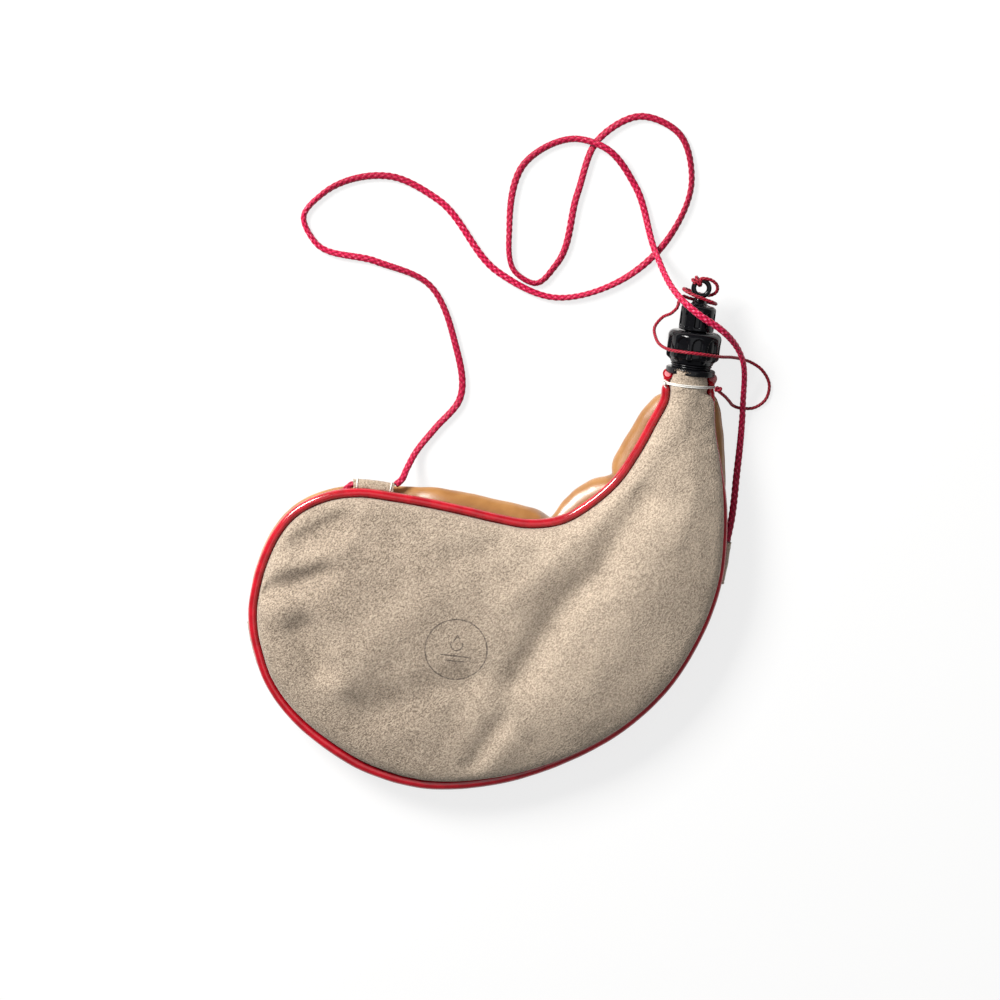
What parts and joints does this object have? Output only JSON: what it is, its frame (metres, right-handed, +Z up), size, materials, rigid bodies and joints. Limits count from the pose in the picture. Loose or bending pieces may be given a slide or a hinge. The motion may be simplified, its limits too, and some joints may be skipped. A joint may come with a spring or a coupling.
{
  "type": "leather bota bag",
  "caption": "Crescent-shaped leather wine skin with a piped seam, screw spout and stopper, tether and shoulder cord, lying flat.",
  "frame": {"origin": "on the table, under the middle of the bag with its spout, cords left out", "axes": "+Y along the spout towards the stopper, +Z up through the suede front, +X to the right seen from above with the spout at the top"},
  "size_m": [0.2731, 0.388, 0.0371],
  "materials": {
    "suede": "raw beige suede with a short nap",
    "tan_leather": "smooth tan leather, softly glossy",
    "liner": "amber latex",
    "red_piping": "glossy red plastic piping",
    "waxed_thread": "white waxed thread",
    "black_plastic": "moulded black plastic, satin",
    "seal_rubber": "dull grey rubber",
    "braided_cord": "flat braided synthetic cord, magenta red",
    "tether_cord": "thin twisted cord, dark red"
  },
  "bodies": {
    "bag": {"front_panel": "suede", "back_panel": "tan_leather", "bladder": "liner", "piping": "red_piping", "neck_binding": "waxed_thread", "spout_collar": "black_plastic", "cord_tab_top": "suede", "cord_tab_left": "suede", "cord_tab_bottom": "suede", "cord_tab_right": "suede", "shoulder_cord": "braided_cord", "shoulder_cord_held": "braided_cord", "tether": "tether_cord", "tether_knot": "tether_cord"},
    "washer": {"nozzle_washer": "seal_rubber"},
    "cap": {"nozzle_cap": "black_plastic"},
    "seal": {"stopper_seal": "seal_rubber"},
    "stopper": {"stopper": "black_plastic", "tether_hitch": "tether_cord"}
  },
  "joints": [
    {"name": "nozzle_travel", "type": "slide", "parent": "bag", "child": "washer", "axis": [0, 1, 0], "range_m": [0, 0.00481]},
    {"name": "nozzle_turn", "type": "hinge", "parent": "washer", "child": "cap", "pos_m": [0.09536, 0.105, 0.02], "axis": [0, 1, 0], "range_deg": [0, 720]},
    {"name": "stopper_travel", "type": "slide", "parent": "cap", "child": "seal", "axis": [0, 1, 0], "range_m": [0, 0.00441]},
    {"name": "stopper_turn", "type": "hinge", "parent": "seal", "child": "stopper", "pos_m": [0.09536, 0.13, 0.02], "axis": [0, 1, 0], "range_deg": [0, 720]}
  ],
  "couplings": [
    {"joint": "nozzle_travel", "follows": "nozzle_turn", "m_per_rad": 0.00038197},
    {"joint": "stopper_travel", "follows": "stopper_turn", "m_per_rad": 0.00035014}
  ]
}
